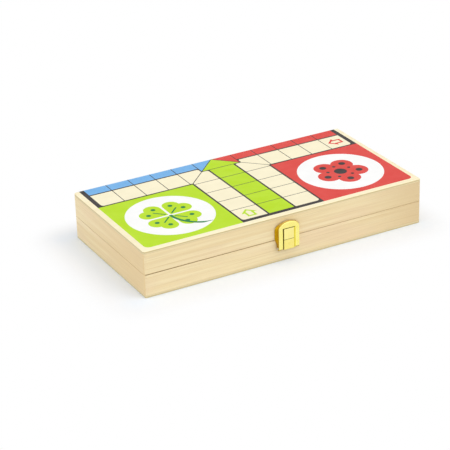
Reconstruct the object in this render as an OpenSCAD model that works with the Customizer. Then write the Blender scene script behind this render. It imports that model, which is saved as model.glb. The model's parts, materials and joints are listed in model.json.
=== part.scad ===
/* [Box] */
// Length of the box, which is the side of the unfolded square board
box_l = 280; // [266:1:310]
// Height of each half, from its outer face to its rim
half_h = 22.1; // [21.5:0.1:22.6]
// Gap between the two rims when the box is shut
seam_gap = 0.1; // [0.02:0.01:0.3]
// Thickness of the four rails of each half
rail_t = 7; // [6.5:0.1:9]
// Thickness of the panel that is glued over the rails
panel_t = 2.5; // [2:0.1:3.5]
// Radius of the upright corners
corner_r = 2.2; // [1.5:0.1:3]
// Radius of the outer arris round each panel
arris_r = 1.2; // [0.8:0.1:1.8]
// Radius of the small arris round each rim
rim_arris_r = 0.5; // [0.3:0.1:0.8]

/* [Printed board] */
// Bare wood between the print and the three outer edges
print_border = 5.1; // [4:0.1:6]
// Depth of the printed layers, flush with the wood
ink_t = 0.2; // [0.15:0.05:0.3]
// Radius of the print's outer corners
print_r = 4.8; // [3:0.1:6]
// Width of one column of the track
cell_w = 26.7; // [25:0.1:28]
// Half the side of the centre square
centre_half = 20.2; // [19.5:0.1:20.5]
// Dark bar across the end of each arm
bar_w = 4.5; // [3:0.1:5]
// Lines along the arms
long_line = 1.8; // [1:0.1:2]
// Lines across the arms, from cell to cell
cross_line = 0.8; // [0.5:0.05:1]
// Diameter of the white disc in each yard
disc_d = 79.6; // [74:0.2:82]
// Number of cells along each home column
cells = 5; // [4:1:5]

/* [Latch] */
// Latch's place along the front, from the middle
latch_x = -1.1; // [-3:0.1:3]
// Width of the bail over its flanges
bail_w = 20.9; // [19:0.1:23]
// Top of the bail's arch above the underside
bail_top = 38.8; // [38:0.1:40]
// Rise of the arch above the straight sides
arch_rise = 6.6; // [6:0.1:8]
// Distance of the bail's face from the wood
bail_proud = 4.4; // [4.2:0.1:5]
// Sheet thickness of the bail
bail_t = 1; // [0.8:0.1:1.2]
// Width of the window in the bail
window_w = 13; // [12:0.1:13.5]
// Top of the window above the underside
window_top = 33.3; // [32.6:0.1:33.6]
// Height of the bail's pivot above the underside
pivot_z = 14.3; // [14.2:0.1:14.8]
// Width of the catch and of the base
block_w = 10.4; // [10:0.1:11]

/* [Hinges] */
// Distance of each hinge's middle from the middle of the box
hinge_x = 85; // [60:1:95]
// Length of each hinge
hinge_l = 25; // [22:0.5:30]
// Width of a leaf on the rim
leaf_w = 6; // [5.5:0.1:6.4]
// Sheet thickness of a leaf
leaf_t = 0.8; // [0.6:0.1:1]
// Radius of the knuckles
knuckle_r = 1.6; // [1.5:0.05:1.8]

/* [Hidden] */
$fn = 48;
fine_fn = 96;
// Small overlap of shapes that are joined
e = 0.01;
// How far a cut runs past the surface
over = 1;

box_w = box_l / 2;
box_h = 2 * half_h + seam_gap;
rail_h = half_h - panel_t;

// The board, with x along the box and v out from the hinge edge
print_half = box_w - print_border;
arm_half = 1.5 * cell_w;
strip_half = cell_w / 2;
track_end = print_half - bar_w;
pitch = (track_end - centre_half) / cells;
yard_mid = (arm_half + print_half) / 2;
half_long = long_line / 2;
half_cross = cross_line / 2;
diagonal = half_cross * sqrt(2);
outer_cell_r = 3;
inner_cell_r = 2;
arrow_stroke = 2;
arrow_reach = 7.3;
arrow_half = 7.7;
arrow_stem = 4.4;

// Clover in the upper home disc, measured from the disc's middle
clover_leaf = 16;
clover_gap = 1.6;
vein_w = 1.4;
vein_from = 4;
vein_l = 12;
spot_r = 2.2;
spot_out = 17.9;
spot_apart = 6.1;
stalk_bend = 30;
stalk_w = 3;
stalk_end = 29;

// Hinges and their screws
pin_r = 0.8;
fixed_gap = 0.02;
running_gap = 0.05;
knuckle_room = 0.35;
leaf_drop = 0.1;
leaf_top = half_h - leaf_drop;
axis_y = box_w / 2 + 0.4;
axis_z = half_h + seam_gap / 2;
knuckles = 5;
knuckle_pitch = hinge_l / knuckles;
screw_x = 8;
screw_y = box_w / 2 - 3.4;
screw_r = 0.9;
screw_head_r = 1.8;
screw_l = 8;
screw_tip_r = 0.15;
screw_hole = screw_l + screw_r + 0.3;
slot_l = 1.8;
slot_w = 0.35;
slot_t = 0.4;
side_gap = 0.1;

// Latch, with heights above the underside
front_y = -box_w / 2;
pivot_out = bail_proud - 2;
pivot_y = front_y - pivot_out;
end_r = bail_proud - pivot_out;
latch_pin_r = 0.7;
pin_head_r = 1.2;
pin_head_t = 0.4;
pin_head_gap = 0.1;
spring_z = bail_top - arch_rise;
deep_top = spring_z - 2;
crown_depth = 3;
block_out = bail_proud - 0.2;
sheet_t = 0.8;
split_z = half_h + seam_gap;
catch_top = 32.3;
base_bottom = 12.6;
base_top = split_z - 0.3;
prong_l = 5;
prong_w = 2.6;
prong_point = 1.5;
prong_tip_w = 0.6;
base_prong_z = 16.5;
catch_prong_z = 27;

wood = [0.93, 0.84, 0.64];
brass = [0.88, 0.72, 0.32];
steel = [0.75, 0.75, 0.76];
cream = [0.99, 0.96, 0.86];
green = [0.74, 0.89, 0.21];
dark_green = [0.10, 0.45, 0.20];
red = [0.88, 0.31, 0.29];
blue = [0.50, 0.72, 0.92];
yellow = [0.99, 0.85, 0.16];
black = [0.27, 0.25, 0.25];
white = [0.99, 0.99, 0.99];

// Corner that a rounding takes away, with the outline's corner at the origin
module corner_waste(r) {
    difference() {
        translate([-e, -e]) square(r + e);
        translate([r, r]) circle(r);
    }
}

// What is drawn on the left, and its mirror image on the right
module both_sides() {
    for (m = [0, 1]) mirror([m, 0, 0]) children();
}

// Outline of the box seen from above
module plan() {
    difference() {
        square([box_l, box_w], center = true);
        for (mx = [0, 1], my = [0, 1])
            mirror([mx, 0]) mirror([0, my])
                translate([-box_l / 2, -box_w / 2]) corner_waste(corner_r);
    }
}

// Section from left to right, with both outer arrises rounded
module long_section() {
    difference() {
        translate([-box_l / 2, 0]) square([box_l, half_h]);
        both_sides() {
            translate([-box_l / 2, 0]) corner_waste(arris_r);
            translate([-box_l / 2, half_h]) mirror([0, 1]) corner_waste(rim_arris_r);
        }
    }
}

// Section from front to back: the hinge edge stays sharp where the print meets it
module cross_section() {
    difference() {
        translate([-box_w / 2, 0]) square([box_w, half_h]);
        translate([-box_w / 2, 0]) corner_waste(arris_r);
        both_sides() translate([-box_w / 2, half_h]) mirror([0, 1]) corner_waste(rim_arris_r);
    }
}

// Outer shape that the rails and the panel of one half are cut to
module half_envelope() {
    intersection() {
        linear_extrude(half_h) plan();
        translate([-box_l / 2, 0, 0]) rotate([90, 0, 90]) linear_extrude(box_l) cross_section();
        translate([0, box_w / 2, 0]) rotate([90, 0, 0]) linear_extrude(box_w) long_section();
    }
}

// Turns a piece of the lower half over into the upper half
module turned_over() {
    translate([0, 0, box_h]) mirror([0, 0, 1]) children();
}

// Mitred rail along the front, long on the outside
module long_rail_blank() {
    translate([0, 0, panel_t]) linear_extrude(rail_h)
        polygon([[-box_l / 2, -box_w / 2], [box_l / 2, -box_w / 2],
            [box_l / 2 - rail_t, rail_t - box_w / 2], [rail_t - box_l / 2, rail_t - box_w / 2]]);
}

// Mitred rail along the left end
module short_rail_blank() {
    translate([0, 0, panel_t]) linear_extrude(rail_h)
        polygon([[-box_l / 2, -box_w / 2], [-box_l / 2, box_w / 2],
            [rail_t - box_l / 2, box_w / 2 - rail_t], [rail_t - box_l / 2, rail_t - box_w / 2]]);
}

// Recess for one hinge leaf, its knuckles and its two screws
module hinge_recess() {
    translate([-hinge_l / 2, box_w / 2 - leaf_w, leaf_top - leaf_t])
        cube([hinge_l, leaf_w + over, leaf_t + over]);
    translate([-hinge_l / 2 - knuckle_room, axis_y, axis_z]) rotate([0, 90, 0])
        cylinder(r = knuckle_r + knuckle_room, h = hinge_l + 2 * knuckle_room);
    for (sx = [-1, 1])
        translate([sx * screw_x, screw_y, half_h - screw_hole])
            cylinder(r = screw_r + running_gap, h = screw_hole);
}

// Pointed prongs of a latch block, from just outside the wood into the rail
module prong_pair(z) {
    shank = prong_l - prong_point;
    for (sx = [-1, 1])
        translate([latch_x + (sx * (block_w - sheet_t) - sheet_t) / 2, front_y, z])
            rotate([90, 0, 90]) linear_extrude(sheet_t)
                polygon([[-over, -prong_w / 2], [shank, -prong_w / 2], [prong_l, -prong_tip_w / 2],
                    [prong_l, prong_tip_w / 2], [shank, prong_w / 2], [-over, prong_w / 2]]);
}

module front_rail(prong_z) {
    color(wood) difference() {
        intersection() {
            long_rail_blank();
            half_envelope();
        }
        prong_pair(prong_z);
    }
}

module back_rail() {
    color(wood) difference() {
        intersection() {
            mirror([0, 1, 0]) long_rail_blank();
            half_envelope();
        }
        for (sx = [-1, 1]) translate([sx * hinge_x, 0, 0]) hinge_recess();
    }
}

module left_rail() {
    color(wood) intersection() {
        short_rail_blank();
        half_envelope();
    }
}

module right_rail() {
    mirror([1, 0, 0]) left_rail();
}

// Thin panel over the rails, with a shallow bed for the print
module panel() {
    color(wood) difference() {
        intersection() {
            translate([-box_l / 2, -box_w / 2, 0]) cube([box_l, box_w, panel_t]);
            half_envelope();
        }
        translate([0, 0, -over]) on_face(ink_t + over) difference() {
            translate([-print_half, -over]) square([2 * print_half, print_half + over]);
            print_corners();
        }
    }
}

// Lays a flat design, drawn in x and v, on the underside of a half
module on_face(t) {
    translate([0, box_w / 2, 0]) mirror([0, 1, 0]) linear_extrude(t) children();
}

module print_corners() {
    both_sides() translate([-print_half, print_half]) mirror([0, 1]) corner_waste(print_r);
}

// Line that cell i starts at, counted from the centre, and the edges of the cell between its lines
function cell_start(i) = centre_half + i * pitch;
function cell_from(i) = cell_start(i) + half_cross;
function cell_to(i) = i == cells - 1 ? track_end : cell_start(i + 1) - half_cross;

// Cell of the track in the left-hand column of the front arm
module column_cell(i) {
    x0 = half_long - arm_half;
    difference() {
        translate([x0, cell_from(i)]) square([cell_w - long_line, cell_to(i) - cell_from(i)]);
        if (i == cells - 1)
            translate([x0, track_end]) mirror([0, 1]) corner_waste(outer_cell_r);
    }
}

// Cell at the inner corner, cut off by the diagonal
module corner_cell() {
    x1 = -strip_half - half_long;
    v0 = centre_half + half_long;
    difference() {
        polygon([[x1, v0], [diagonal - v0, v0], [half_long - arm_half, arm_half - half_long + diagonal],
            [half_long - arm_half, cell_to(0)], [x1, cell_to(0)]]);
        translate([x1, v0]) mirror([1, 0]) corner_waste(inner_cell_r);
    }
}

// Left-hand column of the front arm
module column() {
    corner_cell();
    for (i = [1 : cells - 1]) column_cell(i);
}

// All the cream cells: the columns of the front arm and one row of each side arm
module track_2d() {
    both_sides() {
        column();
        mirror([1, 1]) column();
    }
}

// Home column down the front arm, from the centre square to the bar
module home_column_2d() {
    for (i = [0 : cells - 1])
        translate([half_long - strip_half, cell_from(i)])
            square([cell_w - long_line, cell_to(i) - cell_from(i)]);
}

// Half of the home column along the left arm: the other half is across the fold
module half_strip_2d() {
    for (i = [0 : cells - 1])
        translate([-cell_to(i), 0]) square([cell_to(i) - cell_from(i), strip_half - half_long]);
}

module front_triangle_2d() {
    top = centre_half - half_cross;
    polygon([[0, diagonal], [top - diagonal, top], [diagonal - top, top]]);
}

module side_triangle_2d() {
    top = centre_half - half_cross;
    polygon([[-diagonal, 0], [-top, 0], [-top, top - diagonal]]);
}

// Yard at the outer left corner, without its disc
module yard_2d() {
    inner = arm_half + half_long;
    difference() {
        translate([-print_half, inner]) square(print_half - inner);
        print_corners();
        translate([-yard_mid, yard_mid]) circle(d = disc_d, $fn = fine_fn);
    }
}

// Outlined arrow that points to -v
module arrow_2d() {
    shoulder = arrow_reach - arrow_half;
    inner_tip = arrow_reach - arrow_stroke * sqrt(2);
    inner_shoulder = shoulder + arrow_stroke;
    inner_stem = arrow_stem - arrow_stroke;
    mirror([0, 1]) difference() {
        polygon([[0, arrow_reach], [arrow_half, shoulder], [arrow_stem, shoulder],
            [arrow_stem, -arrow_reach], [-arrow_stem, -arrow_reach], [-arrow_stem, shoulder],
            [-arrow_half, shoulder]]);
        polygon([[0, inner_tip], [inner_tip - inner_shoulder, inner_shoulder],
            [inner_stem, inner_shoulder], [inner_stem, arrow_stroke - arrow_reach],
            [-inner_stem, arrow_stroke - arrow_reach], [-inner_stem, inner_shoulder],
            [inner_shoulder - inner_tip, inner_shoulder]]);
    }
}

module home_arrow_2d() {
    translate([-cell_w, track_end - pitch / 2]) arrow_2d();
}

module side_arrow_2d() {
    translate([track_end - pitch / 2, cell_w]) rotate(-90) arrow_2d();
}

// Heart-shaped leaf with its point at the origin
module leaf_2d(side) {
    rotate(45) {
        square(side);
        translate([side / 2, side]) circle(side / 2);
        translate([side, side / 2]) circle(side / 2);
    }
}

// Clover with four leaves
module clover_leaves_2d() {
    for (a = [45 : 90 : 315]) rotate(a) translate([0, clover_gap]) leaf_2d(clover_leaf);
}

// Veins, spots and stalk of the clover
module clover_marks_2d() {
    for (a = [45 : 90 : 315]) rotate(a) {
        translate([-vein_w / 2, vein_from]) square([vein_w, vein_l]);
        for (sx = [-1, 1]) translate([sx * spot_apart, spot_out]) circle(spot_r);
    }
    intersection() {
        translate([stalk_bend, 0]) difference() {
            circle(stalk_bend + stalk_w / 2, $fn = fine_fn);
            circle(stalk_bend - stalk_w / 2, $fn = fine_fn);
        }
        translate([-stalk_w, 0]) square([stalk_bend, stalk_end]);
    }
}

// Flower of round petals
module petals_2d(count, petal_r, ring_r) {
    circle(ring_r);
    for (k = [0 : count - 1]) rotate(k * 360 / count) translate([0, ring_r]) circle(petal_r);
}

// Centre of a flower, a dot on each petal and a small dot between each two
module flower_marks_2d(count, ring_r, heart_r, dot_r) {
    circle(heart_r);
    for (k = [0 : count - 1]) rotate(k * 360 / count) {
        translate([0, ring_r]) circle(dot_r);
        rotate(180 / count) translate([0, (heart_r + ring_r) / 2]) circle(dot_r / 2);
    }
}

// The upper half has a clover and a red flower, the lower half a yellow and a blue one
module home_motif_2d(half) {
    translate([-yard_mid, yard_mid]) {
        if (half == "upper") clover_leaves_2d();
        else petals_2d(count = 12, petal_r = 4.6, ring_r = 19);
    }
}

module home_marks_2d(half) {
    translate([-yard_mid, yard_mid]) {
        if (half == "upper") clover_marks_2d();
        else flower_marks_2d(count = 12, ring_r = 17, heart_r = 10, dot_r = 1.1);
    }
}

module side_motif_2d(half) {
    translate([yard_mid, yard_mid]) {
        if (half == "upper") petals_2d(count = 5, petal_r = 10.5, ring_r = 15.5);
        else petals_2d(count = 6, petal_r = 8.8, ring_r = 16.5);
    }
}

module side_marks_2d(half) {
    translate([yard_mid, yard_mid]) {
        if (half == "upper") flower_marks_2d(count = 5, ring_r = 17.5, heart_r = 6, dot_r = 3.2);
        else flower_marks_2d(count = 6, ring_r = 18, heart_r = 5.4, dot_r = 2.4);
    }
}

// Colour of the home side: yard, home column, triangle, arrow and motif
module home_colour_2d(half) {
    yard_2d();
    home_column_2d();
    front_triangle_2d();
    home_arrow_2d();
    difference() {
        home_motif_2d(half);
        home_marks_2d(half);
    }
}

// Colour of the neighbour on the right: yard, half strip, triangle, arrow and motif
module side_colour_2d(half) {
    mirror([1, 0]) {
        yard_2d();
        half_strip_2d();
        side_triangle_2d();
    }
    side_arrow_2d();
    difference() {
        side_motif_2d(half);
        side_marks_2d(half);
    }
}

// Colour of the neighbour on the left, of which only the half strip is here
module far_colour_2d() {
    half_strip_2d();
    side_triangle_2d();
}

module cream_2d() {
    difference() {
        track_2d();
        home_arrow_2d();
        side_arrow_2d();
    }
}

// Dark ground of the arms, which shows between the cells as lines
module ground_2d() {
    outer = arm_half + half_long;
    difference() {
        union() {
            translate([-print_half, 0]) square([2 * print_half, outer]);
            translate([-outer, 0]) square([2 * outer, print_half]);
        }
        track_2d();
        home_column_2d();
        front_triangle_2d();
        both_sides() {
            half_strip_2d();
            side_triangle_2d();
        }
    }
}

module black_2d(half) {
    ground_2d();
    side_marks_2d(half);
    if (half == "lower") home_marks_2d(half);
}

module white_2d(half) {
    difference() {
        for (sx = [-1, 1]) translate([sx * yard_mid, yard_mid]) circle(d = disc_d, $fn = fine_fn);
        home_motif_2d(half);
        home_marks_2d(half);
        side_motif_2d(half);
        side_marks_2d(half);
    }
}

// The lower face is the upper face's design turned half a turn across the fold
module lower_ink(shade) {
    color(shade) mirror([1, 0, 0]) on_face(ink_t) children();
}

module upper_ink(shade) {
    color(shade) turned_over() on_face(ink_t) children();
}

// Length of hinge that knuckle k takes, counted from the left
function knuckle_from(k) = k * knuckle_pitch - hinge_l / 2;

// Leaf of a hinge, seen as the lower one: first is 0 where it holds the end knuckles, else 1
module hinge_leaf(first, bore_r) {
    color(brass) difference() {
        union() {
            difference() {
                translate([-hinge_l / 2, box_w / 2 - leaf_w, leaf_top - leaf_t])
                    cube([hinge_l, leaf_w + axis_y - box_w / 2, leaf_t]);
                for (k = [1 - first : 2 : knuckles - 1])
                    translate([knuckle_from(k) - side_gap, axis_y, axis_z]) rotate([0, 90, 0])
                        cylinder(r = knuckle_r + knuckle_room, h = knuckle_pitch + 2 * side_gap);
            }
            for (k = [first : 2 : knuckles - 1])
                translate([knuckle_from(k) + side_gap, axis_y, axis_z]) rotate([0, 90, 0])
                    cylinder(r = knuckle_r, h = knuckle_pitch - 2 * side_gap);
        }
        translate([-hinge_l, axis_y, axis_z]) rotate([0, 90, 0])
            cylinder(r = bore_r, h = 2 * hinge_l);
        for (sx = [-1, 1]) translate([sx * screw_x, screw_y, leaf_top]) {
            translate([0, 0, -leaf_t]) cylinder(r1 = screw_r + running_gap,
                r2 = screw_head_r + running_gap, h = leaf_t + e);
            translate([0, 0, -2 * leaf_t]) cylinder(r = screw_r + running_gap, h = 2 * leaf_t);
        }
    }
}

// Two countersunk wood screws of one leaf, with a cross in each head
module leaf_screws() {
    for (sx = [-1, 1]) translate([sx * screw_x, screw_y, leaf_top]) difference() {
        union() {
            translate([0, 0, -leaf_t]) cylinder(r1 = screw_r, r2 = screw_head_r, h = leaf_t);
            translate([0, 0, -screw_l]) cylinder(r = screw_r, h = screw_l - leaf_t + e);
            translate([0, 0, -screw_l - screw_r]) cylinder(r1 = screw_tip_r, r2 = screw_r, h = screw_r);
        }
        for (a = [0, 90]) rotate(a)
            translate([-slot_l / 2, -slot_w / 2, -slot_t]) cube([slot_l, slot_w, over]);
    }
}

module screws() {
    color(steel) for (sx = [-1, 1]) translate([sx * hinge_x, 0, 0]) leaf_screws();
}

module hinge_pin() {
    color(steel) translate([-hinge_l / 2, axis_y, axis_z]) rotate([0, 90, 0])
        cylinder(r = pin_r, h = hinge_l);
}

// Stamped block, open at the back, held by two prongs driven into the rail
module latch_block(bottom, top, prong_z) {
    difference() {
        translate([latch_x - block_w / 2, front_y - block_out, bottom])
            cube([block_w, block_out, top - bottom]);
        translate([latch_x - block_w / 2 + sheet_t, front_y - block_out + sheet_t, bottom + sheet_t])
            cube([block_w - 2 * sheet_t, block_out, top - bottom - 2 * sheet_t]);
    }
    prong_pair(prong_z);
}

module pivot_bore(r) {
    translate([latch_x - bail_w, pivot_y, pivot_z]) rotate([0, 90, 0])
        cylinder(r = r, h = 2 * bail_w);
}

// Base on the lower rail, which carries the pivot between its side walls
module latch_base() {
    color(brass) difference() {
        latch_block(base_bottom, base_top, base_prong_z);
        pivot_bore(latch_pin_r + fixed_gap);
    }
}

// Catch on the upper rail, which the bail's window drops over
module latch_catch() {
    color(brass) latch_block(split_z, catch_top, catch_prong_z);
}

// Outline of the bail: straight sides under an elliptic arch, drawn in by t
module arch_2d(t) {
    half = bail_w / 2 - t;
    rise = arch_rise - t;
    bottom = pivot_z - end_r - t;
    polygon(concat([[-half, bottom]],
        [for (a = [180 : -7.5 : 0]) [half * cos(a), spring_z + rise * sin(a)]],
        [[half, bottom]]));
}

// Stands a flat shape up in front of the box, t thick behind the bail's face
module stood_up(t) {
    translate([latch_x, front_y - bail_proud + t, 0]) rotate([90, 0, 0]) linear_extrude(t) children();
}

// Side view of the bail: round about the pivot, deep along the sides, shallower at the crown
module bail_profile() {
    face = front_y - bail_proud;
    back = face + 2 * end_r;
    translate([latch_x - bail_w, 0, 0]) rotate([90, 0, 90]) linear_extrude(2 * bail_w) {
        translate([pivot_y, pivot_z]) circle(end_r);
        polygon([[face, pivot_z], [back, pivot_z], [back, deep_top],
            [face + crown_depth, bail_top + e], [face, bail_top + e]]);
    }
}

// Stamped ring whose sides are folded back towards the wood
module latch_bail() {
    color(brass) difference() {
        intersection() {
            union() {
                stood_up(bail_t) arch_2d(0);
                stood_up(2 * end_r) difference() {
                    arch_2d(0);
                    arch_2d(bail_t);
                }
            }
            bail_profile();
        }
        translate([latch_x - window_w / 2, front_y - 2 * bail_proud, 0])
            cube([window_w, 2 * bail_proud, window_top]);
        pivot_bore(latch_pin_r + running_gap);
    }
}

// Pin with a peened head outside each flange
module latch_pin() {
    half = bail_w / 2 + pin_head_gap + pin_head_t;
    color(brass) translate([latch_x - half, pivot_y, pivot_z]) rotate([0, 90, 0]) {
        cylinder(r = latch_pin_r, h = 2 * half);
        for (x = [0, 2 * half - pin_head_t]) translate([0, 0, x]) cylinder(r = pin_head_r, h = pin_head_t);
    }
}

panel();  // lower_panel
front_rail(base_prong_z);  // lower_front_rail
back_rail();  // lower_back_rail
left_rail();  // lower_left_rail
right_rail();  // lower_right_rail
turned_over() panel();  // upper_panel
turned_over() front_rail(box_h - catch_prong_z);  // upper_front_rail
turned_over() back_rail();  // upper_back_rail
turned_over() left_rail();  // upper_left_rail
turned_over() right_rail();  // upper_right_rail
upper_ink(cream) cream_2d();  // upper_cream_print
upper_ink(green) home_colour_2d("upper");  // upper_green_print
upper_ink(red) side_colour_2d("upper");  // upper_red_print
upper_ink(blue) far_colour_2d();  // upper_blue_print
upper_ink(black) black_2d("upper");  // upper_black_print
upper_ink(white) white_2d("upper");  // upper_white_print
upper_ink(dark_green) home_marks_2d("upper");  // upper_dark_green_print
lower_ink(cream) cream_2d();  // lower_cream_print
lower_ink(yellow) home_colour_2d("lower");  // lower_yellow_print
lower_ink(blue) side_colour_2d("lower");  // lower_blue_print
lower_ink(red) far_colour_2d();  // lower_red_print
lower_ink(black) black_2d("lower");  // lower_black_print
lower_ink(white) white_2d("lower");  // lower_white_print
translate([-hinge_x, 0, 0]) hinge_leaf(0, pin_r + fixed_gap);  // left_hinge_lower_leaf
translate([-hinge_x, 0, 0]) turned_over() hinge_leaf(1, pin_r + running_gap);  // left_hinge_upper_leaf
translate([-hinge_x, 0, 0]) hinge_pin();  // left_hinge_pin
translate([hinge_x, 0, 0]) hinge_leaf(0, pin_r + fixed_gap);  // right_hinge_lower_leaf
translate([hinge_x, 0, 0]) turned_over() hinge_leaf(1, pin_r + running_gap);  // right_hinge_upper_leaf
translate([hinge_x, 0, 0]) hinge_pin();  // right_hinge_pin
screws();  // lower_hinge_screws
turned_over() screws();  // upper_hinge_screws
latch_base();
latch_catch();
latch_bail();
latch_pin();
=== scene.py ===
# Folding board box: two printed wooden trays on brass hinges, shut by an arched bail
import json
import math
import bpy
from mathutils import Matrix, Vector


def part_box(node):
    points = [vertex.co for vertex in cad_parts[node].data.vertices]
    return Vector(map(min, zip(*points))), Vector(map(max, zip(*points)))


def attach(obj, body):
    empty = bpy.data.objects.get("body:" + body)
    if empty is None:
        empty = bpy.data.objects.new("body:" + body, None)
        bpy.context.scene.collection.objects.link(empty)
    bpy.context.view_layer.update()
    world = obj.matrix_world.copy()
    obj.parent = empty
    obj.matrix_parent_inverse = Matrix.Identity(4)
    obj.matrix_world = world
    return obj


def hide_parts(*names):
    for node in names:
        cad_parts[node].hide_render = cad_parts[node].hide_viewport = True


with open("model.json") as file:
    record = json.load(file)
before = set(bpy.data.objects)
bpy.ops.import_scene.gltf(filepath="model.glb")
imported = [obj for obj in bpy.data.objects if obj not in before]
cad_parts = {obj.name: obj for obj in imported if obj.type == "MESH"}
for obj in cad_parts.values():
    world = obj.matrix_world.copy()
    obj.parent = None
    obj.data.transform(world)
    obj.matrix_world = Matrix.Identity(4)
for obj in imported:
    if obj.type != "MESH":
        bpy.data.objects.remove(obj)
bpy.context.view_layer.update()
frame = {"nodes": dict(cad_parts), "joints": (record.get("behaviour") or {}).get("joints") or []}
MM = 0.001

# The view: a long lens from the front left, a little above the box, tilted slightly.
view_turn = math.radians(-28.11)
view_height = math.radians(25.62)
view_roll = math.radians(-1.78)
view_distance = 1598 * MM
view_aside = Vector((-21.7 * MM, 4.57 * MM))
focal_px = 1754
image_px = 450
sensor_mm = 36

back = Vector((math.sin(view_turn) * math.cos(view_height),
               -math.cos(view_turn) * math.cos(view_height), math.sin(view_height)))
level = Vector((math.cos(view_turn), math.sin(view_turn), 0))
upright = back.cross(level)
right = math.cos(view_roll) * level + math.sin(view_roll) * upright
up = math.cos(view_roll) * upright - math.sin(view_roll) * level
camera = bpy.data.objects.new("camera", bpy.data.cameras.new("camera"))
camera.data.sensor_width = sensor_mm
camera.data.lens = focal_px / image_px * sensor_mm
place = back * view_distance + right * view_aside.x + up * view_aside.y
camera.matrix_world = Matrix.LocRotScale(
    place, Matrix((right, up, back)).transposed().to_quaternion(), None)
bpy.context.scene.collection.objects.link(camera)
bpy.context.scene.camera = camera


# The rails: planed basswood strips, mitred and glued at the corners, under a thin satin
# lacquer. The grain runs along each strip, and each was cut from another part of the plank.
class Value:
    """A shader socket that arithmetic in Python adds Math nodes to."""

    def __init__(self, finish, socket):
        self.finish = finish
        self.socket = socket

    def math(self, operation, *inputs):
        return self.finish.node("Math", inputs, operation=operation)

    def __add__(self, other):
        return self.math("ADD", self, other)

    def __sub__(self, other):
        return self.math("SUBTRACT", self, other)

    def __rsub__(self, other):
        return self.math("SUBTRACT", other, self)

    def __mul__(self, other):
        return self.math("MULTIPLY", self, other)

    def __abs__(self):
        return self.math("ABSOLUTE", self)

    __radd__ = __add__
    __rmul__ = __mul__

    def step(self, low, high, to=(0, 1)):
        """Rises smoothly from to[0] at low to to[1] at high."""
        return self.finish.node("MapRange", (self, low, high, to[0], to[1]),
                                interpolation_type="SMOOTHSTEP")


class Finish:
    """A material on one Principled shader."""

    def __init__(self, name, roughness, metallic=0.0, specular=0.5, coat=0.0, coat_roughness=0.1):
        self.material = bpy.data.materials.new(name)
        self.material.use_nodes = True
        self.tree = self.material.node_tree
        self.shader = self.tree.nodes["Principled BSDF"]
        self.set("Roughness", roughness)
        self.set("Metallic", metallic)
        self.set("Specular IOR Level", specular)
        self.set("Coat Weight", coat)
        self.set("Coat Roughness", coat_roughness)

    def node(self, kind, inputs=(), out=0, **settings):
        made = self.tree.nodes.new("ShaderNode" + kind)
        for key, setting in settings.items():
            setattr(made, key, setting)
        named = inputs.items() if isinstance(inputs, dict) else enumerate(inputs)
        for key, value in named:
            if isinstance(value, Value):
                self.tree.links.new(value.socket, made.inputs[key])
            else:
                made.inputs[key].default_value = value
        return Value(self, made.outputs[out])

    def place(self, out="Object"):
        return self.node("TexCoord", out=out)

    def axes(self, vector):
        return [self.node("SeparateXYZ", [vector], out=i) for i in range(3)]

    def noise(self, size, detail=2.0, shift=(0, 0, 0), roughness=0.5, wander=0.0):
        """Noise whose features are size mm along each axis, from 0 to 1 about 0.5."""
        scale = [1 / (s * MM) for s in size]
        spot = self.node("Mapping", {"Vector": self.place(), "Scale": scale, "Location": shift})
        return self.node("TexNoise", {"Vector": spot, "Scale": 1.0, "Detail": detail,
                                      "Roughness": roughness, "Distortion": wander})

    def mix(self, amount, colour_a, colour_b):
        a, b = [c if isinstance(c, Value) else (*c, 1) for c in (colour_a, colour_b)]
        return self.node("Mix", {0: amount, 6: a, 7: b}, out=2, data_type="RGBA")

    def set(self, name, value):
        if isinstance(value, Value):
            self.tree.links.new(value.socket, self.shader.inputs[name])
        else:
            self.shader.inputs[name].default_value = value

    def bump(self, height, depth):
        """Relief of depth metres where height goes from 0 to 1."""
        self.set("Normal", self.node("Bump", {"Height": height, "Distance": depth,
                                              "Strength": 1.0}))


def linear(red, green, blue):
    """Linear colour from the eight-bit one that the eye judges by."""
    return [(c / 255 / 12.92 if c < 11 else ((c / 255 + 0.055) / 1.055) ** 2.4)
            for c in (red, green, blue)]


wood_pale = linear(242, 225, 183)
wood_tan = linear(232, 209, 160)
wood_rosy = linear(234, 208, 170)
wood_dark = linear(186, 153, 96)
# Dark brown for the joint lines, and for the painted shade in the seam between the halves.
wood_joint_and_seam_shade = linear(140, 104, 48)
joint_depth = 2.5
box_low, box_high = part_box("lower_panel")[0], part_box("upper_panel")[1]
box_height = box_high.z - box_low.z
rim_depth = box_height / 2 / MM


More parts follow.
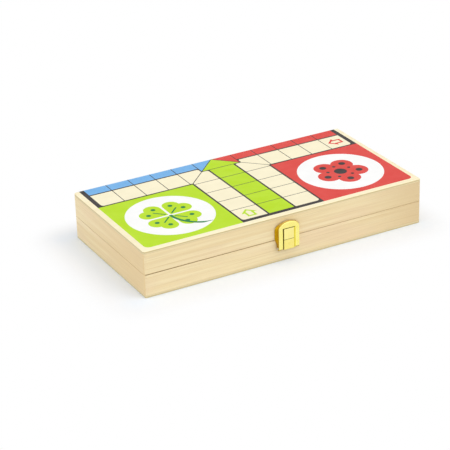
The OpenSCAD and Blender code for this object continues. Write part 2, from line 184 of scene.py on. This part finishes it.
def basswood(name, half, shift, along, drift, tone, seam_shade_ends):
    """Pale close-grained wood: colour that drifts to a tone, fine lines, flecks, and painted
    shade along the rim where the halves meet.
    """
    finish = Finish(name, roughness=0.45, specular=0.3, coat=0.12, coat_roughness=0.2)

    def grain(length, width):
        return [length if axis == along else width for axis in range(3)]

    bands = finish.noise(grain(170, 3.5), detail=4, shift=shift, wander=0.5)
    lines = finish.noise(grain(60, 0.6), detail=4, shift=shift, roughness=0.6, wander=0.3)
    flecks = finish.noise(grain(1.6, 0.16), detail=1, shift=shift)
    clouds = finish.noise(grain(60, 26), detail=2, shift=shift)
    base = finish.mix(bands.step(0.3, 0.7), wood_pale, wood_tan)
    base = finish.mix(clouds.step(0.42, 0.72) * 0.6, base, wood_rosy)
    spot = finish.axes(finish.place())
    z = spot[2]
    base = finish.mix(spot[along].step(drift[0] * MM, drift[1] * MM), base, tone)
    dark = lines.step(0.45, 0.8) * 0.34 + flecks.step(0.64, 0.74) * 0.2
    depth = z * (1 / MM) if half == "lower" else (box_height - z) * (1 / MM)
    joint = abs(depth - joint_depth).step(0.06, 0.24, to=(1, 0))
    arris = abs(finish.axes(finish.place("Normal"))[2]).step(0.95, 0.995, to=(1, 0))
    # Painted shade: a dark band on the outer sides just below the rim where the two halves meet,
    # standing in for the shade in the seam, stronger towards one end.
    seam_shade = depth.step(rim_depth - 0.6, rim_depth - 0.2) * arris
    seam_shade = seam_shade * spot[along].step(-0.14, 0.14, to=seam_shade_ends)
    base = finish.mix(dark, base, wood_dark)
    base = finish.mix(joint * 0.4 + seam_shade, base, wood_joint_and_seam_shade)
    finish.set("Base Color", base)
    finish.set("Roughness", 0.4 + lines * 0.14)
    finish.bump(lines * 0.5 + flecks * -0.6 - joint * 2, 0.03 * MM)
    return finish.material


along_x, along_y = 0, 1
# The last entry of each rail is how strong its painted seam shade is at either end.
rails = {
    "front": dict(along=along_x, drift=(50, 160), tone=linear(220, 195, 149), seam_shade_ends=(0.9, 0.1)),
    "back": dict(along=along_x, drift=(160, -60), tone=linear(238, 222, 184), seam_shade_ends=(0.3, 0.3)),
    "left": dict(along=along_y, drift=(70, -70), tone=linear(229, 203, 154), seam_shade_ends=(0, 0.2)),
    "right": dict(along=along_y, drift=(120, -80), tone=linear(226, 204, 160), seam_shade_ends=(0.3, 0.3)),
}
for number, (half, side) in enumerate((h, s) for h in ("lower", "upper") for s in rails):
    rail = frame["nodes"][f"{half}_{side}_rail"]
    cut = (3.7 * number, 5.1 * number, 9.3 * number)
    rail.data.materials.clear()
    rail.data.materials.append(basswood(f"{half}_{side}_basswood", half, cut, **rails[side]))

# The panels: 2.5 mm basswood ply glued over each tray, lacquered, with its printed bed in the
# outer face. At the sides its thin outer plies and the darker core show as fine bands.
outer_ply = 0.6


def ply(name, shift, half):
    finish = Finish(name, roughness=0.42, specular=0.3, coat=0.2, coat_roughness=0.18)
    bands = finish.noise((150, 9, 9), detail=3, shift=shift)
    lines = finish.noise((60, 0.7, 0.7), detail=4, shift=shift, roughness=0.6)
    fibres = finish.noise((0.35, 0.35, 0.2), detail=2, shift=shift)
    face = finish.mix(bands.step(0.3, 0.7), linear(250, 240, 205), linear(246, 232, 192))
    face = finish.mix(lines.step(0.55, 0.8) * 0.25, face, wood_tan)
    z = finish.axes(finish.place())[2]
    depth = z * (1 / MM) if half == "lower" else (box_height - z) * (1 / MM)
    core = depth.step(outer_ply - 0.08, outer_ply + 0.08)
    core = core - depth.step(joint_depth - outer_ply - 0.08, joint_depth - outer_ply + 0.08)
    upward = finish.axes(finish.place("Normal"))[2]
    edge = abs(upward).step(0.35, 0.8, to=(1, 0))
    end_grain = finish.mix(fibres, linear(214, 196, 148), linear(200, 180, 132))
    side = finish.mix(core, linear(236, 220, 178), end_grain)
    joint = depth.step(joint_depth - 0.16, joint_depth - 0.02) * edge
    colour = finish.mix(edge, face, side)
    finish.set("Base Color", finish.mix(joint * 0.4, colour, wood_joint_and_seam_shade))
    finish.set("Roughness", 0.36 + lines * 0.12 + edge * 0.1)
    finish.bump(lines * 0.5 + core * edge * fibres * 0.8, 0.03 * MM)
    return finish.material


for number, half in enumerate(("lower", "upper")):
    panel = frame["nodes"][half + "_panel"]
    panel.data.materials.clear()
    panel.data.materials.append(ply(half + "_ply", (11.3 * number, 2.9 * number, 0), half))

# The prints: opaque inks screened on the panels, one colour after another, then lacquered.
# The lacquer is glossy and shows a trace of the grain and of the screen under it.
inks = {
    "cream": linear(250, 241, 208),
    "green": linear(186, 224, 8),
    "dark_green": linear(20, 128, 66),
    "red": linear(222, 66, 58),
    "blue": linear(116, 178, 232),
    "yellow": linear(250, 216, 30),
    "black": linear(50, 44, 44),
    "white": linear(251, 251, 250),
}


def screened(name, colour):
    finish = Finish(name, roughness=0.38, specular=0.05, coat=0.16, coat_roughness=0.07)
    cloud = finish.noise((18, 12, 12), detail=2)
    grain = finish.noise((40, 0.8, 0.8), detail=3)
    dimple = finish.noise((1.1, 1.1, 1.1), detail=1)
    paler = [c * 0.985 + 0.012 for c in colour]
    deeper = [c * 0.965 for c in colour]
    shade = finish.mix(cloud.step(0.3, 0.7), paler, deeper)
    shade = finish.mix(grain.step(0.5, 0.75) * 0.2, shade, deeper)
    finish.set("Base Color", shade)
    finish.set("Roughness", 0.34 + cloud * 0.1)
    finish.bump(dimple * 0.7 + grain * 0.3, 0.012 * MM)
    return finish.material


for ink, colour in inks.items():
    for half in ("lower", "upper"):
        layer = frame["nodes"].get(f"{half}_{ink}_print")
        if layer:
            layer.data.materials.clear()
            layer.data.materials.append(screened(f"{half}_{ink}_ink", colour))

# The hinges: two small butt hinges of stamped brass-plated sheet, let into the back rails
# and held by countersunk steel screws, each turning on a steel pin.
smallest_radius = 0.12 * MM


def metal(name, colour, duller, roughness, toward=None, painted_shading=None):
    """Bright plated sheet with faint clouds, fine draw lines and rub marks.

    Where it turns out of the toward direction it goes over to a second colour of painted shading:
    painted shade on the blocks' walls and the bail's curled leg ends, and a painted paler top on
    the flanges.
    """
    finish = Finish(name, roughness=roughness, metallic=1.0)
    cloud = finish.noise((4, 4, 4), detail=3)
    drawn = finish.noise((0.25, 6, 6), detail=2)
    rubbed = finish.noise((1.4, 1.4, 1.4), detail=5, roughness=0.7)
    shade = finish.mix(cloud.step(0.35, 0.75), colour, duller)
    if painted_shading:
        normal = finish.axes(finish.place("Normal"))
        facing = sum(n * t for n, t in zip(normal, toward))
        shade = finish.mix(facing.step(0.2, 0.8, to=(1, 0)), shade, painted_shading)
    finish.set("Base Color", shade)
    finish.set("Roughness", roughness - 0.05 + drawn * 0.06 + rubbed.step(0.5, 0.8) * 0.1)
    finish.bump(drawn * 0.5 + rubbed * 0.3, 0.002 * MM)
    return finish.material


def dress(node, material, radius=smallest_radius):
    """Material and broken edges on a CAD node."""
    piece = frame["nodes"][node]
    piece.data.materials.clear()
    piece.data.materials.append(material)
    weld = piece.modifiers.new("weld", "WELD")
    weld.merge_threshold = 0.002 * MM
    bevel = piece.modifiers.new("bevel", "BEVEL")
    bevel.width = radius
    bevel.segments = 3
    bevel.limit_method = "ANGLE"
    bevel.angle_limit = math.radians(40)
    bevel.harden_normals = True


hinge_brass = metal("hinge_brass", linear(242, 214, 136), linear(228, 194, 108), 0.3)
screw_steel = metal("screw_steel", linear(206, 206, 208), linear(180, 180, 184), 0.3)
for side in ("left", "right"):
    dress(f"{side}_hinge_lower_leaf", hinge_brass)
    dress(f"{side}_hinge_upper_leaf", hinge_brass)
    frame["nodes"][f"{side}_hinge_pin"].data.materials.clear()
    frame["nodes"][f"{side}_hinge_pin"].data.materials.append(screw_steel)
for half in ("lower", "upper"):
    frame["nodes"][half + "_hinge_screws"].data.materials.clear()
    frame["nodes"][half + "_hinge_screws"].data.materials.append(screw_steel)

# The latch blocks: a catch on the lid and a base on the tray, each folded from brass-plated
# sheet with two prongs pressed into the rail. The base carries the steel pivot.
# The blocks' side and top walls go over to a dark painted shade, standing in for the shade in the
# narrow gaps between the catch and the bail's window.
block_front = (0.6, -0.85, 0.15)
wall_painted_shade = linear(98, 64, 6)
catch_brass = metal("catch_brass", linear(254, 242, 155), linear(252, 237, 147), 0.34,
                    block_front, wall_painted_shade)
base_brass = metal("base_brass", linear(253, 238, 140), linear(250, 231, 126), 0.3,
                   block_front, wall_painted_shade)
dress("latch_catch", catch_brass, 0.3 * MM)
dress("latch_base", base_brass, 0.25 * MM)
dress("latch_pin", screw_steel)

# The bail: a ring drawn from one sheet, flat in front with a window, its sides folded back
# and sprung a little outwards. It turns on the pin and snaps over the catch.
bail_low, bail_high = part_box("latch_bail")
pivot = next(j for j in frame["joints"] if j["name"] == "latch_pivot")["pos_m"]
bail_mid = (bail_low.x + bail_high.x) / 2
bail_half = (bail_high.x - bail_low.x) / 2
end_radius = pivot[2] - bail_low.z
arch_rise = 6.6 * MM
spring_z = bail_high.z - arch_rise
window_half = 6.5 * MM
window_top = 33.3 * MM
bail_sheet = 1 * MM
crown_depth = 3 * MM
deep_top = spring_z - 2 * MM
outer_round = 0.35 * MM
side_lip = 1 * MM
top_lip = 0.25 * MM
lip_wall = 0.3 * MM
flare = 2 * MM
flare_start = 3 * MM
flare_run = 6 * MM
flare_end = spring_z + 5.7 * MM
crown_inner = 0.78
arch_steps = 40
leg_steps = 14
end_steps = 8
section_points = 14
flange_strips = (8, 9, 10)
lip_strips = (0, 1, 12, 13)


def bail_stations():
    """Points of the outer outline up one leg, over the arch and down, with the window beside."""
    leg = []
    for i in range(end_steps):
        turn = math.pi / 2 * i / end_steps
        leg.append(pivot[2] - end_radius * math.cos(turn))
    leg += [pivot[2] + (spring_z - pivot[2]) * i / leg_steps for i in range(leg_steps)]
    left = [((-bail_half, z), (-window_half, z), (-1, 0)) for z in leg]
    arch = []
    for i in range(arch_steps + 1):
        turn = math.pi * (1 - i / arch_steps)
        outer = (bail_half * math.cos(turn), spring_z + arch_rise * math.sin(turn))
        normal = Vector((math.cos(turn) / bail_half, math.sin(turn) / arch_rise)).normalized()
        reach = min(1, window_half / max(abs(outer[0]) * crown_inner, 1e-9))
        inner = (outer[0] * crown_inner * reach, window_top)
        arch.append((outer, inner, tuple(normal)))
    right = [((-o[0], o[1]), (-w[0], w[1]), (1, 0)) for o, w, n in reversed(left)]
    return left + arch + right


def bail_section(outer, window, normal):
    """The sheet's section at one station, from the window round the outside to the back."""
    z = outer[1]
    below = max(0, pivot[2] - z)
    curl = math.sqrt(max(end_radius ** 2 - below ** 2, (0.02 * MM) ** 2))
    front = pivot[1] - curl
    slope = min(1, max(0, (z - deep_top) / (bail_high.z - deep_top)))
    deep = 2 * curl * (1 - slope) + crown_depth * slope
    back_y = front + deep
    sheet = min(bail_sheet, deep / 2.5)
    roundness = min(outer_round, deep / 3)
    spread = flare * min(1, max(0, (z - pivot[2] - flare_start) / flare_run))
    spread *= min(1, max(0, (flare_end - z) / (flare_end - spring_z)))
    outer = Vector(outer)
    window = Vector(window)
    normal = Vector(normal)
    away = (outer - window).normalized()
    lip = min(side_lip if z < spring_z else top_lip, deep / 4)
    brink = window - away * lip
    points = [(brink, front + lip + lip_wall), (brink, front + lip), (window, front)]
    for i in range(6):
        turn = math.pi / 2 * i / 5
        inset = roundness * (1 - math.sin(turn))
        points.append((outer - normal * inset, front + roundness * (1 - math.cos(turn))))
    points.append((outer + normal * spread, back_y))
    points.append((outer + normal * (spread - sheet * 0.8), back_y))
    points.append((outer - normal * sheet, front + sheet))
    points.append((window + away * sheet * 0.4, front + sheet))
    points.append((brink + away * lip_wall, front + lip + lip_wall))
    return [(bail_mid + p.x, y, p.y) for p, y in points]


def lofted(name, sections):
    """Mesh through closed sections, with both ends filled."""
    ring = len(sections[0])
    points = [p for section in sections for p in section]
    faces = [tuple(range(ring)), tuple(range(len(points) - 1, len(points) - ring - 1, -1))]
    for row in range(len(sections) - 1):
        for i in range(ring):
            j = (i + 1) % ring
            here, there = row * ring, (row + 1) * ring
            faces.append((here + i, there + i, there + j, here + j))
    mesh = bpy.data.meshes.new(name)
    mesh.from_pydata(points, [], faces)
    mesh.validate()
    piece = bpy.data.objects.new(name, mesh)
    bpy.context.scene.collection.objects.link(piece)
    return piece


bail = lofted("bail", [bail_section(*station) for station in bail_stations()])
# The face goes over to a darker painted shade where the leg ends curl under, away from the light.
bail_brass = metal("bail_brass", linear(255, 244, 146), linear(253, 240, 134), 0.26,
                   (0, -0.85, 0.75), linear(170, 132, 56))
# The flanges' deep gold is painted shade on their sides. Where they face up over the arch it goes
# over to a painted paler top.
flange_painted_shading = metal("flange_painted_shading", linear(204, 166, 28), linear(192, 152, 18), 0.3,
                     (-1, 0, 0), linear(238, 214, 134))
sheared_brass = metal("sheared_brass", linear(254, 242, 96), linear(250, 234, 84), 0.6)
for brass in (bail_brass, flange_painted_shading, sheared_brass):
    bail.data.materials.append(brass)
for face in bail.data.polygons[2:]:
    strip = (face.index - 2) % section_points
    face.material_index = 1 if strip in flange_strips else 2 if strip in lip_strips else 0
bail.data.shade_smooth()
bail.data.set_sharp_from_angle(angle=math.radians(35))
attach(bail, "latch_bail")
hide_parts("latch_bail")

# The table and the light: a white sweep under an even white tent, brighter from the right.
# Beside the box its colour is painted cooler, to cancel the warm light that the wood bounces onto
# it; farther off it is plain white.
table_size = 4
shadow_shift = 8 * MM
warmed = 25 * MM
fade = 42 * MM
tent_light = 0.65
tent_seen = 1.0
bpy.ops.mesh.primitive_plane_add(size=table_size, location=(0, 0, box_low.z))
table = bpy.context.object
table.name = "table"
sweep = Finish("sweep", roughness=0.9, specular=0)
table_x, table_y = sweep.axes(sweep.place())[:2]
off_end = sweep.node("Math", [abs(table_x + shadow_shift) - box_high.x, 0.0], operation="MAXIMUM")
off_side = sweep.node("Math", [abs(table_y) - box_high.y, 0.0], operation="MAXIMUM")
off_box = sweep.node("Math", [off_end * off_end + off_side * off_side], operation="SQRT")
seen = sweep.node("LightPath", out="Is Camera Ray")
glanced = sweep.node("LightPath", out="Is Glossy Ray")
shown = sweep.node("Math", [seen, glanced], operation="MAXIMUM")
# The cool colour is a painted tint near the box against the wood's warm bounced light.
cool, plain = (0.88, 0.93, 1), (0.9, 0.91, 0.93)
sweep.set("Base Color", sweep.mix(off_box.step(0, warmed), cool, plain))
glow = sweep.node("Emission", {"Color": (1, 1, 1, 1), "Strength": 1.0})
blend = sweep.node("MixShader", [off_box.step(0, fade) * shown,
                                 Value(sweep, sweep.shader.outputs[0]), glow])
sweep.tree.links.new(blend.socket, sweep.tree.nodes["Material Output"].inputs["Surface"])
table.data.materials.append(sweep.material)

world = bpy.data.worlds.new("tent")
world.use_nodes = True
bpy.context.scene.world = world
sky = world.node_tree
background = sky.nodes["Background"]
path = sky.nodes.new("ShaderNodeLightPath")
either = sky.nodes.new("ShaderNodeMath")
either.operation = "MAXIMUM"
sky.links.new(path.outputs["Is Camera Ray"], either.inputs[0])
sky.links.new(path.outputs["Is Glossy Ray"], either.inputs[1])
strength = sky.nodes.new("ShaderNodeMapRange")
strength.inputs["To Min"].default_value = tent_light
strength.inputs["To Max"].default_value = tent_seen
sky.links.new(either.outputs[0], strength.inputs["Value"])
sky.links.new(strength.outputs[0], background.inputs["Strength"])
background.inputs["Color"].default_value = (1, 1, 1, 1)

lamps = {
    "overhead": dict(energy=0.8, spread=70, turn=15, height=60),
    "front": dict(energy=0.52, spread=60, turn=45, height=30),
    "left": dict(energy=0.66, spread=60, turn=-95, height=25),
}
for name, lamp in lamps.items():
    light = bpy.data.lights.new(name, "SUN")
    light.energy = lamp["energy"]
    light.angle = math.radians(lamp["spread"])
    turn, height = math.radians(lamp["turn"]), math.radians(lamp["height"])
    source = Vector((math.sin(turn) * math.cos(height), -math.cos(turn) * math.cos(height),
                     math.sin(height)))
    sun = bpy.data.objects.new(name, light)
    sun.rotation_euler = source.to_track_quat("Z", "Y").to_euler()
    bpy.context.scene.collection.objects.link(sun)

bpy.context.scene.view_settings.view_transform = "Standard"
